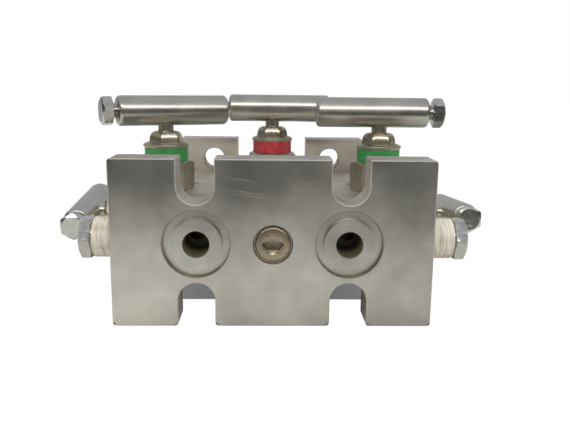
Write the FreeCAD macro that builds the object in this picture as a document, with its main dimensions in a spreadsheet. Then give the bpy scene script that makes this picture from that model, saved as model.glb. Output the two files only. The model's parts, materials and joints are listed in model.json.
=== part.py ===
"""Five-valve instrument manifold, direct mount, double flange (millimetres).

The body is one machined block. Its front flange carries the transmitter and
its rear flange the process side. Three valves stand on top and one on each
side, each with a bonnet, a gland, a turning stem and a clamped T-bar.

Row frame: +X to the right seen from the front flange, +Y from the front
flange to the rear one, +Z up. The origin is under the middle of the block, on
the surface that the flanges stand on.
"""
import FreeCAD, Part
import math
import os
import re
import Sketcher

Vector = FreeCAD.Vector
Rotation = FreeCAD.Rotation
Placement = FreeCAD.Placement

DIMENSIONS = {
    # Block: front flange, web, raised pad and rear flange.
    "flange_width": 114,
    "flange_height": 60,
    "block_length": 98,
    "front_flange_depth": 14,
    "rear_flange_depth": 12,
    "rear_flange_width": 84,
    "rear_gap_width": 32,
    "web_height": 27.7,
    "pad_height": 28.9,
    "pad_setback": 41,
    "pad_width": 61,
    "shoulder_setback": 51,
    "shoulder_width": 100,
    "waist_setback": 79,
    "edge_break": 0.8,
    "corner_round": 1.2,
    "spotface_diameter": 24,
    # Flange bolting and ports.
    "bolt_spacing_wide": 54,
    "bolt_spacing_high": 41.3,
    "notch_width": 13.2,
    "bolt_hole_diameter": 10.2,
    "bolt_hole_depth": 20,
    "port_diameter": 9.6,
    "port_depth": 18,
    "gasket_outer_diameter": 24,
    "gasket_inner_diameter": 18,
    "gasket_depth": 2.4,
    # Centre socket-head screw.
    "counterbore_diameter": 14.2,
    "counterbore_depth": 8.6,
    "screw_diameter": 8,
    "screw_length": 16,
    "screw_head_diameter": 12.8,
    "screw_head_height": 8,
    "screw_head_bevel": 0.8,
    "screw_socket_flats": 6,
    "screw_socket_depth": 4,
    # Side test plugs and their thread tape.
    "plug_setback": 12,
    "plug_hole_diameter": 13.4,
    "plug_hole_depth": 14,
    "plug_shank_length": 12,
    "left_plug_reach": 8.1,
    "right_plug_reach": 9.1,
    "plug_hex_flats": 14,
    "plug_hex_height": 4.4,
    "plug_hex_bevel": 0.8,
    "tape_diameter": 15,
    "tape_gap": 0.2,
    # Valve places: set back from the front face, out from the middle plane.
    "isolate_offset": 42,
    "isolate_setback": 38,
    "equalise_setback": 72,
    "vent_setback": 64,
    # Valve cavity in the block, measured down from the bonnet seat.
    "thread_bore_diameter": 14,
    "thread_bore_depth": 9.5,
    "chamber_diameter": 9,
    "chamber_depth": 14.8,
    "seat_diameter": 3.2,
    "seat_depth": 24,
    # Bonnet, seal and packing.
    "bonnet_flats": 19,
    "bonnet_height": 11.5,
    "bonnet_bevel": 0.9,
    "bonnet_shank_length": 9,
    "stem_thread_bore_diameter": 7.2,
    "packing_diameter": 11,
    "packing_floor": 2,
    "packing_height": 4,
    # Colour ring, collar and gland nut above the bonnet.
    "ring_diameter": 17,
    "ring_height": 5.1,
    "collar_diameter": 17.9,
    "collar_crown_diameter": 15.2,
    "collar_height": 1.9,
    "gland_shank_diameter": 10.8,
    "gland_flats": 12,
    "gland_height": 4,
    "gland_crown_diameter": 9.4,
    "gland_shoulder": 3.1,
    "gland_dome_radius": 4.2,
    # Stem and its swivelling needle tip.
    "stem_diameter": 6,
    "stem_clearance": 0.1,
    "stem_thread_diameter": 7,
    "stem_thread_top": 2.2,
    "stem_foot": 12,
    "stem_lip": 0.6,
    "stem_lip_diameter": 3.3,
    "tip_pocket_diameter": 4.7,
    "tip_pocket_height": 2.4,
    "tip_head_diameter": 4.4,
    "tip_neck_diameter": 3,
    "tip_gap": 0.15,
    "tip_shoulder_diameter": 5.2,
    "tip_point_diameter": 1.6,
    "tip_shoulder_depth": 12.9,
    "tip_point_depth": 15.9,
    # T-bar and its clamping bolt.
    "bar_height": 30.8,
    "bar_diameter": 11.6,
    "bar_long_end": 25,
    "bar_short_end": 19,
    "bar_end_bevel": 1.5,
    "bar_socket_depth": 3,
    "bolt_diameter": 6,
    "bolt_neck": 1.9,
    "bolt_flats": 10,
    "bolt_head_height": 4.2,
    "bolt_bevel": 0.7,
    "bolt_tip_gap": 0.1,
    # How far each T-bar stands turned from square, in degrees.
    "left_isolate_yaw": 22,
    "left_vent_dip": 4,
    "right_vent_rise": 2.6,
}

# How far each bonnet's hexagon and each clamp bolt's hexagon is turned on its
# own axis, in degrees: a thread stops where it is tight.
HEXAGON_TURNS = {
    "left_isolate": (-10, 30),
    "right_isolate": (-12, 30),
    "equalise": (-20, 30),
    "left_vent": (0, 0),
    "right_vent": (0, 0),
}

# Flow passages on the right side, as (name, start, end, bore). Each point is
# out from the middle plane, back from the front face, up from port level.
SIDE_DRILLINGS = [
    ("ProcessDrilling", (27, 83, -1), (42, 38, -10.5), 4),
    ("TransmitterDrilling", (27, 16, 0), (40, 36, 1), 5),
    ("VentFeed", (31, 64, 0), (40, 41, 1), 4),
    ("VentOutlet", (40, 62, -3.5), (53, 13, -4), 3),
]
EQUALISE_DRILLINGS = [
    ("EqualiseLeft", (-30, 64, 0), (-3, 71, 1.5), 4),
    ("EqualiseRight", (30, 64, 0), (0, 72, -7), 3.5),
]

CUTTING_FEATURES = ("Pocket", "Groove", "Hole", "SubtractiveCylinder")

doc = FreeCAD.newDocument("ValveManifold")


# ---------------------------------------------------------------- dimensions
def fill_sheet():
    """Put every driving dimension in the spreadsheet under its own name."""
    sheet = doc.addObject("Spreadsheet::Sheet", "Dims")
    for row, (name, number) in enumerate(DIMENSIONS.items(), start=1):
        sheet.set(f"A{row}", name)
        sheet.set(f"B{row}", str(number))
        sheet.setAlias(f"B{row}", name)
    doc.recompute()
    return sheet


dims = fill_sheet()


def expression(text):
    """A formula in bare dimension names, with each name led to the sheet."""
    return re.sub(r"\b[a-z_]{2,}\b(?!\()", r"Dims.\g<0>", text)


def number(text):
    """The present value of a formula in dimension names."""
    return float(dims.evalExpression(expression(text)))


def bind(item, path, text):
    """Drive one property of a document object by a formula."""
    item.setExpression(path, expression(text))


# ------------------------------------------------------------------ sketches
def new_body(label):
    """An empty body whose label is the sub-part's name."""
    body = doc.addObject("PartDesign::Body", "Body")
    body.Label = label
    return body


def new_sketch(body, name, role, offset=("0", "0", "0"), turn=0):
    """A sketch on one of the body's origin planes, moved and turned in it."""
    sketch = body.newObject("Sketcher::SketchObject", name)
    planes = {feature.Role: feature for feature in body.Origin.OriginFeatures}
    sketch.AttachmentSupport = (planes[role], "")
    sketch.MapMode = "FlatFace"
    sketch.AttachmentOffset = Placement(Vector(), Rotation(Vector(0, 0, 1), turn))
    for axis, text in zip("xyz", offset):
        if text != "0":
            bind(sketch, f".AttachmentOffset.Base.{axis}", text)
    return sketch


def add_line(sketch, start, end):
    """A straight edge, with the vertex numbers of its two ends."""
    edge = sketch.addGeometry(Part.LineSegment(start, end))
    return edge, 1, 2


def add_arc(sketch, start, end, radius, turn):
    """A minor arc; turn is 1 for anticlockwise from start to end, else -1."""
    chord = end - start
    rise = math.sqrt(max(radius ** 2 - (chord.Length / 2) ** 2, 0))
    left = Vector(-chord.y, chord.x, 0).normalize()
    centre = (start + end) / 2 + left * rise * turn
    first, last = (start, end) if turn > 0 else (end, start)
    angles = [math.atan2(p.y - centre.y, p.x - centre.x) for p in (first, last)]
    circle = Part.Circle(centre, Vector(0, 0, 1), radius)
    edge = sketch.addGeometry(Part.ArcOfCircle(circle, *angles))
    return (edge, 1, 2) if turn > 0 else (edge, 2, 1)


def place_vertex(sketch, edge, vertex, x, y):
    """Hold a vertex at formulas measured from the sketch's origin."""
    for kind, text in (("DistanceX", x), ("DistanceY", y)):
        held = Sketcher.Constraint(kind, -1, 1, edge, vertex, number(text))
        bind(sketch, f"Constraints[{sketch.addConstraint(held)}]", text)


def outline(sketch, points):
    """A closed outline through points, each a pair of formulas.

    A point may add (radius, turn): the edge that leaves it is then an arc.
    """
    places = [Vector(number(p[0]), number(p[1]), 0) for p in points]
    edges = []
    for index, point in enumerate(points):
        start, end = places[index], places[(index + 1) % len(points)]
        if len(point) == 2:
            edges.append(add_line(sketch, start, end))
        else:
            edges.append(add_arc(sketch, start, end, number(point[2]), point[3]))
    for index, (edge, start, end) in enumerate(edges):
        following, onward, _ = edges[(index + 1) % len(edges)]
        sketch.addConstraint(Sketcher.Constraint("Coincident", edge, end, following, onward))
        place_vertex(sketch, edge, start, points[index][0], points[index][1])
        if len(points[index]) > 2:
            held = Sketcher.Constraint("Radius", edge, number(points[index][2]))
            bind(sketch, f"Constraints[{sketch.addConstraint(held)}]", points[index][2])
    return sketch


def circle(sketch, x, y, diameter):
    """A circle whose centre and diameter are formulas."""
    centre = Vector(number(x), number(y), 0)
    edge = sketch.addGeometry(Part.Circle(centre, Vector(0, 0, 1), number(diameter) / 2))
    place_vertex(sketch, edge, 3, x, y)
    held = Sketcher.Constraint("Diameter", edge, number(diameter))
    bind(sketch, f"Constraints[{sketch.addConstraint(held)}]", diameter)
    return sketch


def rectangle(sketch, left, bottom, right, top):
    """A rectangle between two corners given as formulas."""
    return outline(sketch, [(left, bottom), (right, bottom), (right, top), (left, top)])


def hexagon(sketch, flats, x="0", y="0"):
    """A hexagon across flats about (x, y), with two flats square to sketch Y."""
    corner = f"({flats}) / sqrt(3)"
    points = []
    for across, up in ((1, 0), (0.5, 0.5), (-0.5, 0.5), (-1, 0), (-0.5, -0.5), (0.5, -0.5)):
        points.append((f"{x} + {across} * {corner}", f"{y} + {up} * ({flats})"))
    return outline(sketch, points)


# ------------------------------------------------------------------ features
def shape_feature(body, kind, name, sketch, length=None, **settings):
    """A sketch-based feature; length, if given, is a formula."""
    feature = body.newObject(f"PartDesign::{kind}", name)
    feature.Profile = sketch
    if length is not None:
        bind(feature, "Length", length)
    for setting, choice in settings.items():
        setattr(feature, setting, choice)
    return feature


def revolve(body, kind, name, sketch, axis="V_Axis"):
    """A full turn of the sketch about its own vertical or horizontal axis."""
    return shape_feature(body, kind, name, sketch, ReferenceAxis=(sketch, [axis]), Angle=360)


def bevel_hexagon(body, name, flats, crown, slope_length, axis="V_Axis", outward=1, offset=("0", "0", "0")):
    """Turn the corners off one end of a hexagon, as a nut's corners are.

    crown is the level of the end face along the axis, slope_length how far
    the bevel runs back, and outward the side that the end face looks to.
    """
    sketch = new_sketch(body, f"{name}Sketch", "XZ_Plane", offset)
    inner = f"({flats}) / 2 - 0.05"
    outer = f"({flats}) / sqrt(3) + 1"
    run = f"(({outer}) - ({inner})) * {slope_length} / (({flats}) / sqrt(3) - ({flats}) / 2)"
    level = f"({crown})"
    back = f"{level} - {outward} * {run}"
    beyond = f"{level} + {outward}"
    corners = [(inner, level), (outer, back), (outer, beyond), (inner, beyond)]
    if axis == "H_Axis":
        corners = [(along, across) for across, along in corners]
    outline(sketch, corners)
    return revolve(body, "Groove", name, sketch, axis)


def drilling(body, name, start, end, bore):
    """A straight drilled passage between two points of the row frame."""
    tool = body.newObject("PartDesign::SubtractiveCylinder", name)
    tool.Radius = bore / 2
    tool.Height = (end - start).Length
    tool.Placement = Placement(start, Rotation(Vector(0, 0, 1), end - start))
    return tool


def break_edges(body, kind, name, size, chosen):
    """Fillet or chamfer the edges of the body's tip that pass a test."""
    doc.recompute()
    base = body.Tip
    edges = [f"Edge{i}" for i, edge in enumerate(base.Shape.Edges, start=1) if chosen(edge)]
    feature = body.newObject(f"PartDesign::{kind}", name)
    feature.Base = (base, edges)
    bind(feature, "Radius" if kind == "Fillet" else "Size", size)
    return feature


# --------------------------------------------------------------- valve block
PORT_LEVEL = "flange_height / 2"
HALF_LENGTH = "block_length / 2"
SIDES = (-1, 1)


def from_front(setback):
    """Row Y of a feature set back from the front face."""
    return f"{setback} - block_length / 2"


def plan_outline(sketch, stations, back):
    """A plan symmetric about X = 0 that steps in at each (y, width) station."""
    right = []
    for index, (start, width) in enumerate(stations):
        end = stations[index + 1][0] if index + 1 < len(stations) else back
        right += [(f"{width} / 2", start), (f"{width} / 2", end)]
    left = [(f"-({x})", y) for x, y in reversed(right)]
    return outline(sketch, right + left)


def add_block_forms(body):
    """Web, raised pad, front flange and forked rear flange."""
    level = ("0", "0", PORT_LEVEL)
    back = HALF_LENGTH
    web = new_sketch(body, "WebPlan", "XY_Plane", level)
    plan_outline(web, [(from_front("0"), "flange_width"),
                       (from_front("shoulder_setback"), "shoulder_width"),
                       (from_front("waist_setback"), "rear_flange_width")], back)
    shape_feature(body, "Pad", "Web", web, "web_height", Midplane=True)

    raised = new_sketch(body, "RaisedPlan", "XY_Plane", level)
    plan_outline(raised, [(from_front("pad_setback"), "pad_width"),
                          (from_front("shoulder_setback"), "shoulder_width"),
                          (from_front("waist_setback"), "rear_flange_width")], back)
    shape_feature(body, "Pad", "RaisedPad", raised, "pad_height", Midplane=True)

    front = new_sketch(body, "FrontFlangeFace", "XZ_Plane", ("0", "0", HALF_LENGTH))
    rectangle(front, "-flange_width / 2", "0", "flange_width / 2", "flange_height")
    shape_feature(body, "Pad", "FrontFlange", front, "front_flange_depth", Reversed=True)

    rear = new_sketch(body, "RearFlangeFace", "XZ_Plane", ("0", "0", f"-({HALF_LENGTH})"))
    outline(rear, fork_points())
    shape_feature(body, "Pad", "RearFlange", rear, "rear_flange_depth")


def fork_points():
    """Rear flange outline: a rectangle with a gap in its top and bottom."""
    side, gap = "rear_flange_width / 2", "rear_gap_width / 2"
    low, high = "flange_height / 2 - pad_height / 2", "flange_height / 2 + pad_height / 2"
    upper = [(side, "flange_height"), (gap, "flange_height"), (gap, high)]
    lower = [(gap, low), (gap, "0"), (side, "0")]
    left_upper = [(f"-({x})", z) for x, z in reversed(upper)]
    left_lower = [(f"-({x})", z) for x, z in reversed(lower)]
    return upper + left_upper + left_lower + lower


def bolt_places():
    """Centres of the four flange bolts, as formulas in X and Z."""
    return [(f"{side} * bolt_spacing_wide / 2", f"{PORT_LEVEL} + {level} * bolt_spacing_high / 2", level)
            for side in SIDES for level in SIDES]


def cut_notches(body):
    """Four U-notches that take the transmitter bolts, open up and down."""
    rounds = new_sketch(body, "NotchRounds", "XZ_Plane", ("0", "0", HALF_LENGTH))
    mouths = new_sketch(body, "NotchMouths", "XZ_Plane", ("0", "0", HALF_LENGTH))
    for x, z, level in bolt_places():
        circle(rounds, x, z, "notch_width")
        rim = f"{PORT_LEVEL} + {level} * (flange_height / 2 + 1)"
        low, high = (z, rim) if level > 0 else (rim, z)
        rectangle(mouths, f"{x} - notch_width / 2", low, f"{x} + notch_width / 2", high)
    shape_feature(body, "Pocket", "NotchFloors", rounds, "front_flange_depth", Reversed=False)
    shape_feature(body, "Pocket", "NotchSides", mouths, "front_flange_depth", Reversed=False)


def cut_ports(body):
    """Ports with gasket grooves in both faces, and the tapped bolt holes."""
    for face, offset, backward in (("Front", HALF_LENGTH, False), ("Rear", f"-({HALF_LENGTH})", True)):
        grooves = new_sketch(body, f"{face}GasketRings", "XZ_Plane", ("0", "0", offset))
        bores = new_sketch(body, f"{face}PortRings", "XZ_Plane", ("0", "0", offset))
        for side in SIDES:
            x = f"{side} * bolt_spacing_wide / 2"
            circle(grooves, x, PORT_LEVEL, "gasket_outer_diameter")
            circle(grooves, x, PORT_LEVEL, "gasket_inner_diameter")
            circle(bores, x, PORT_LEVEL, "port_diameter")
        shape_feature(body, "Pocket", f"{face}GasketGrooves", grooves, "gasket_depth", Reversed=backward)
        shape_feature(body, "Pocket", f"{face}Ports", bores, "port_depth", Reversed=backward)

    holes = new_sketch(body, "RearBoltRings", "XZ_Plane", ("0", "0", f"-({HALF_LENGTH})"))
    for x, z, _ in bolt_places():
        circle(holes, x, z, "bolt_hole_diameter")
    shape_feature(body, "Pocket", "RearBoltHoles", holes, "bolt_hole_depth", Reversed=True)


def cut_centre_hole(body):
    """Counterbore and tapped hole for the centre screw."""
    sketch = new_sketch(body, "CentreHoleProfile", "XY_Plane", ("0", f"-({HALF_LENGTH})", PORT_LEVEL))
    outline(sketch, [("0", "-1"), ("counterbore_diameter / 2", "-1"),
                     ("counterbore_diameter / 2", "counterbore_depth"),
                     ("screw_diameter / 2", "counterbore_depth"),
                     ("screw_diameter / 2", "counterbore_depth + screw_length"),
                     ("0", "counterbore_depth + screw_length + 2")])
    revolve(body, "Groove", "CentreHole", sketch)


def cut_plug_holes(body):
    """Threaded side holes for the test plugs, with drilled cone ends."""
    for side, name in zip(SIDES, ("Left", "Right")):
        offset = (f"{side} * flange_width / 2", from_front("plug_setback"), PORT_LEVEL)
        sketch = new_sketch(body, f"{name}PlugHoleProfile", "XY_Plane", offset)
        reach = f"-{side} * plug_hole_depth"
        outline(sketch, [(f"{side}", "0"), (f"{side}", "plug_hole_diameter / 2"),
                         (reach, "plug_hole_diameter / 2"), (f"{reach} - {side} * 3", "0")])
        revolve(body, "Groove", f"{name}PlugHole", sketch, "H_Axis")


def cut_valve_cavities(body):
    """Spotface of the middle valve, and the stepped bore under each bonnet."""
    high = f"{PORT_LEVEL} + pad_height / 2"
    spotface = new_sketch(body, "EqualiseSpotfaceRing", "XY_Plane", ("0", "0", high))
    circle(spotface, "0", from_front("equalise_setback"), "spotface_diameter")
    shape_feature(body, "Pocket", "EqualiseSpotface", spotface, "(pad_height - web_height) / 2")
    for name, (x, y, z), turn in cavity_frames():
        sketch = new_sketch(body, f"{name}CavityProfile", "XZ_Plane", (x, z, f"-({y})"), turn)
        outline(sketch, cavity_points())
        revolve(body, "Groove", f"{name}Cavity", sketch)


def cavity_frames():
    """Bonnet seats as (name, place, turn of the seat's axis from up)."""
    top = f"{PORT_LEVEL} + web_height / 2"
    isolate_back = from_front("isolate_setback")
    vent_back = from_front("vent_setback")
    return [
        ("LeftIsolate", ("-isolate_offset", isolate_back, top), 0),
        ("RightIsolate", ("isolate_offset", isolate_back, top), 0),
        ("Equalise", ("0", from_front("equalise_setback"), top), 0),
        ("LeftVent", ("-shoulder_width / 2", vent_back, PORT_LEVEL), 90),
        ("RightVent", ("shoulder_width / 2", vent_back, PORT_LEVEL), -90),
    ]


def cavity_points():
    """Half section of a valve cavity, downwards from the bonnet seat."""
    return [("0", "1"), ("thread_bore_diameter / 2", "1"),
            ("thread_bore_diameter / 2", "-thread_bore_depth"),
            ("chamber_diameter / 2", "-thread_bore_depth"),
            ("chamber_diameter / 2", "-chamber_depth"),
            ("seat_diameter / 2", "-chamber_depth"),
            ("seat_diameter / 2", "-seat_depth"), ("0", "-seat_depth")]


def cut_passages(body):
    """Angled drillings that join ports, valve chambers and plug holes."""
    shift = Vector(0, -number(HALF_LENGTH), number(PORT_LEVEL))
    for name, start, end, bore in SIDE_DRILLINGS:
        for side, hand in zip(SIDES, ("Left", "Right")):
            ends = [Vector(side * x, y, z) + shift for x, y, z in (start, end)]
            drilling(body, hand + name, *ends, bore)
    for name, start, end, bore in EQUALISE_DRILLINGS:
        drilling(body, name, Vector(*start) + shift, Vector(*end) + shift, bore)


def is_rounded_corner(edge):
    """Whether an edge runs along Y at a flange corner or a lower notch's mouth."""
    box = edge.BoundBox
    runs_along = box.XLength < 0.01 and box.ZLength < 0.01
    in_front = box.YMax < number(from_front("front_flange_depth")) + 0.01
    at_foot = abs(box.ZMin) < 0.01
    at_top = abs(box.ZMin - number("flange_height")) < 0.01
    outside = abs(abs(box.XMin) - number("flange_width / 2")) < 0.01
    return runs_along and in_front and (at_foot or at_top and outside)


def is_front_rim(edge):
    """Whether an edge bounds the front face, notches included."""
    box = edge.BoundBox
    on_face = box.YLength < 0.01 and abs(box.YMin + number(HALF_LENGTH)) < 0.01
    return on_face and edge.Length > 1


def build_block():
    """The machined block that carries everything else."""
    body = new_body("valve_block")
    add_block_forms(body)
    cut_notches(body)
    break_edges(body, "Fillet", "FlangeCorners", "corner_round", is_rounded_corner)
    break_edges(body, "Chamfer", "FrontRim", "edge_break", is_front_rim)
    cut_ports(body)
    cut_centre_hole(body)
    cut_plug_holes(body)
    cut_valve_cavities(body)
    cut_passages(body)
    return body


# ------------------------------------------------- screws and plugs of the block
def build_centre_screw():
    """Socket-head cap screw whose head sits just below the front face."""
    body = new_body("centre_screw")
    head = "counterbore_depth - screw_head_height"
    sketch = new_sketch(body, "ScrewProfile", "XY_Plane", ("0", f"-({HALF_LENGTH})", PORT_LEVEL))
    rim = "screw_head_diameter / 2"
    outline(sketch, [("0", head), (f"{rim} - screw_head_bevel", head),
                     (rim, f"{head} + screw_head_bevel"), (rim, "counterbore_depth"),
                     ("screw_diameter / 2", "counterbore_depth"),
                     ("screw_diameter / 2", "counterbore_depth + screw_length"),
                     ("0", "counterbore_depth + screw_length")])
    revolve(body, "Revolution", "Screw", sketch)
    socket = new_sketch(body, "SocketHexagon", "XZ_Plane", ("0", "0", f"{HALF_LENGTH} - ({head})"))
    hexagon(socket, "screw_socket_flats", "0", PORT_LEVEL)
    shape_feature(body, "Pocket", "Socket", socket, "screw_socket_depth")
    return body


def build_test_plug(label, side, reach):
    """Hex-headed taper plug; local +X points out of the block."""
    body = new_body(label)
    sketch = new_sketch(body, "ShankProfile", "XZ_Plane")
    shank = "plug_hole_diameter / 2"
    outline(sketch, [("-plug_shank_length", "0"), ("-plug_shank_length", f"{shank} - 0.8"),
                     ("-plug_shank_length + 1", shank), (reach, shank), (reach, "0")])
    revolve(body, "Revolution", "Shank", sketch, "H_Axis")
    head = new_sketch(body, "HeadHexagon", "YZ_Plane", ("0", "0", reach))
    hexagon(head, "plug_hex_flats")
    shape_feature(body, "Pad", "Head", head, "plug_hex_height")
    bevel_hexagon(body, "OuterBevel", "plug_hex_flats", f"{reach} + plug_hex_height",
                  "plug_hex_bevel", "H_Axis")
    bevel_hexagon(body, "InnerBevel", "plug_hex_flats", reach, "plug_hex_bevel", "H_Axis", -1)
    place_on_side(body, side)
    return body


def build_plug_tape(label, side, reach):
    """Thread-seal tape wound on the part of the plug that stands out."""
    body = new_body(label)
    sketch = new_sketch(body, "TapeProfile", "XZ_Plane")
    inner, outer = "plug_hole_diameter / 2", "tape_diameter / 2"
    end = f"{reach} - tape_gap"
    outline(sketch, [("tape_gap", inner), ("tape_gap", f"{outer} - 0.5"), ("tape_gap + 1", outer),
                     (f"{reach} - 1.5", f"{outer} - 0.2"), (end, f"{outer} - 0.5"), (end, inner)])
    revolve(body, "Revolution", "Tape", sketch, "H_Axis")
    place_on_side(body, side)
    return body


def place_on_side(body, side):
    """Set a part whose local X is its axis on a plug hole of the block."""
    body.Placement = Placement(Vector(), Rotation(Vector(0, 0, 1), 0 if side > 0 else 180))
    bind(body, ".Placement.Base.x", f"{side} * flange_width / 2")
    bind(body, ".Placement.Base.y", from_front("plug_setback"))
    bind(body, ".Placement.Base.z", PORT_LEVEL)


# ------------------------------------------------------------ parts of a valve
# Local frame of a valve: origin on the bonnet's seat, +Z out along the stem,
# +X along the T-bar towards its clamping bolt.
RING_BASE = "bonnet_height"
COLLAR_BASE = "bonnet_height + ring_height"
GLAND_BASE = "bonnet_height + ring_height + collar_height"
STEM_BORE = "stem_diameter / 2 + stem_clearance"
PACKING_TOP = "packing_floor + packing_height"


def build_bonnet(label, turn):
    """Hexagon bonnet screwed into the block, with its packing chamber."""
    body = new_body(label)
    shank = new_sketch(body, "ShankProfile", "XZ_Plane")
    rectangle(shank, "0", "-bonnet_shank_length", "thread_bore_diameter / 2", "0")
    revolve(body, "Revolution", "Shank", shank)
    base = new_sketch(body, "HexagonPlan", "XY_Plane", turn=turn)
    hexagon(base, "bonnet_flats")
    shape_feature(body, "Pad", "Hexagon", base, "bonnet_height")
    bevel_hexagon(body, "TopBevel", "bonnet_flats", "bonnet_height", "bonnet_bevel")
    bore = new_sketch(body, "BoreProfile", "XZ_Plane")
    thread, packing = "stem_thread_bore_diameter / 2", "packing_diameter / 2"
    outline(bore, [("0", "-bonnet_shank_length - 1"), (thread, "-bonnet_shank_length - 1"),
                   (thread, "packing_floor"), (packing, "packing_floor"),
                   (packing, "bonnet_height + 1"), ("0", "bonnet_height + 1")])
    revolve(body, "Groove", "Bore", bore)
    return body


def build_ring_part(label, inner, outer, low, high):
    """A plain turned ring between two levels of the valve's axis."""
    body = new_body(label)
    sketch = new_sketch(body, "RingProfile", "XZ_Plane")
    rectangle(sketch, inner, low, outer, high)
    revolve(body, "Revolution", "Ring", sketch)
    return body


def build_collar(label):
    """Tapered washer between the colour ring and the gland nut."""
    body = new_body(label)
    sketch = new_sketch(body, "CollarProfile", "XZ_Plane")
    inner, wide = "packing_diameter / 2", "collar_diameter / 2"
    outline(sketch, [(inner, COLLAR_BASE), ("ring_diameter / 2", COLLAR_BASE),
                     (wide, f"{COLLAR_BASE} + 0.4 * collar_height"),
                     (wide, f"{COLLAR_BASE} + 0.65 * collar_height"),
                     ("collar_crown_diameter / 2", GLAND_BASE), (inner, GLAND_BASE)])
    revolve(body, "Revolution", "Collar", sketch)
    return body


def build_gland_nut(label):
    """Domed hexagon gland nut whose shank presses the packing down."""
    body = new_body(label)
    shank = new_sketch(body, "ShankProfile", "XZ_Plane")
    rectangle(shank, "0", PACKING_TOP, "gland_shank_diameter / 2", GLAND_BASE)
    revolve(body, "Revolution", "Shank", shank)
    plan = new_sketch(body, "HexagonPlan", "XY_Plane", ("0", "0", GLAND_BASE))
    hexagon(plan, "gland_flats")
    shape_feature(body, "Pad", "Hexagon", plan, "gland_height")
    dome = new_sketch(body, "DomeProfile", "XZ_Plane")
    crown, top = "gland_crown_diameter / 2", f"{GLAND_BASE} + gland_height"
    wide, shoulder = "gland_flats / sqrt(3) + 0.2", f"{GLAND_BASE} + gland_height - gland_shoulder"
    outline(dome, [(crown, top, "gland_dome_radius", -1), (wide, shoulder),
                   (f"{wide} + 1", shoulder), (f"{wide} + 1", f"{top} + 1"), (crown, f"{top} + 1")])
    revolve(body, "Groove", "Dome", dome)
    bore = new_sketch(body, "BoreProfile", "XZ_Plane")
    rectangle(bore, "0", f"{PACKING_TOP} - 1", STEM_BORE, f"{top} + 1")
    revolve(body, "Groove", "Bore", bore)
    return body


def build_stem(label):
    """Stem with its thread core and the lipped pocket that holds the tip."""
    body = new_body(label)
    sketch = new_sketch(body, "StemProfile", "XZ_Plane")
    plain, thread = "stem_diameter / 2", "stem_thread_diameter / 2"
    lip, pocket = "stem_lip_diameter / 2", "tip_pocket_diameter / 2"
    pocket_floor = "-stem_foot + stem_lip"
    pocket_roof = "-stem_foot + stem_lip + tip_pocket_height"
    outline(sketch, [("0", pocket_roof), (pocket, pocket_roof), (pocket, pocket_floor),
                     (lip, pocket_floor), (lip, "-stem_foot"), (f"{thread} - 0.5", "-stem_foot"),
                     (thread, "-stem_foot + 0.5"), (thread, "-stem_thread_top"),
                     (plain, "-stem_thread_top + 0.5"),
                     (plain, "bar_height + bar_socket_depth - 0.1"),
                     ("0", "bar_height + bar_socket_depth - 0.1")])
    revolve(body, "Revolution", "Stem", sketch)
    return body


def build_needle_tip(label):
    """Swivelling tip that closes the seat without turning on it."""
    body = new_body(label)
    sketch = new_sketch(body, "TipProfile", "XZ_Plane")
    head, neck = "tip_head_diameter / 2", "tip_neck_diameter / 2"
    head_floor = "-stem_foot + stem_lip + tip_gap"
    head_roof = "-stem_foot + stem_lip + tip_pocket_height - tip_gap"
    shoulder, point = "tip_shoulder_diameter / 2", "tip_point_diameter / 2"
    outline(sketch, [("0", head_roof), ("0", "-tip_point_depth"), (point, "-tip_point_depth"),
                     (shoulder, "-tip_shoulder_depth"), (shoulder, "-stem_foot - 2 * tip_gap"),
                     (neck, "-stem_foot - 2 * tip_gap"), (neck, head_floor),
                     (head, head_floor), (head, head_roof)])
    revolve(body, "Revolution", "Tip", sketch)
    return body


def build_handle_bar(label):
    """T-bar: a turned bar with a socket for the stem and a tapped end."""
    body = new_body(label)
    sketch = new_sketch(body, "BarProfile", "XZ_Plane", ("0", "bar_height", "0"))
    radius, bolt = "bar_diameter / 2", "bolt_diameter / 2"
    low = f"{radius} - bar_end_bevel"
    outline(sketch, [("-bar_long_end", "0"), ("-bar_long_end", low),
                     ("-bar_long_end + bar_end_bevel", radius),
                     ("bar_short_end - bar_end_bevel", radius),
                     ("bar_short_end", low), ("bar_short_end", bolt), ("2", bolt), ("2", "0")])
    revolve(body, "Revolution", "Bar", sketch, "H_Axis")
    socket = new_sketch(body, "SocketProfile", "XZ_Plane")
    rectangle(socket, "0", "bar_height - bar_diameter", "stem_diameter / 2", "bar_height + bar_socket_depth")
    revolve(body, "Groove", "StemSocket", socket)
    return body


def build_handle_bolt(label, turn):
    """Hexagon bolt in the T-bar's end that clamps the bar to the stem."""
    body = new_body(label)
    sketch = new_sketch(body, "BoltProfile", "XZ_Plane", ("0", "bar_height", "0"))
    tip, head = "stem_diameter / 2 + bolt_tip_gap", "bar_short_end + bolt_neck"
    rectangle(sketch, tip, "0", head, "bolt_diameter / 2")
    revolve(body, "Revolution", "Shank", sketch, "H_Axis")
    hexagon_face = new_sketch(body, "HeadHexagon", "YZ_Plane", ("0", "bar_height", head), turn)
    hexagon(hexagon_face, "bolt_flats")
    shape_feature(body, "Pad", "Head", hexagon_face, "bolt_head_height")
    bevel_hexagon(body, "HeadBevel", "bolt_flats", f"{head} + bolt_head_height", "bolt_bevel",
                  "H_Axis", 1, ("0", "bar_height", "0"))
    return body


def turned_frame(outward, towards_bolt):
    """Rotation that sends +Z outward along a stem and +X towards the bolt."""
    return Rotation(towards_bolt, outward.cross(towards_bolt), outward, "ZXY")


def in_plane(first, second, degrees):
    """Unit vector turned by an angle from the first axis to the second."""
    angle = math.radians(degrees)
    return first * math.cos(angle) + second * math.sin(angle)


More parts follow.
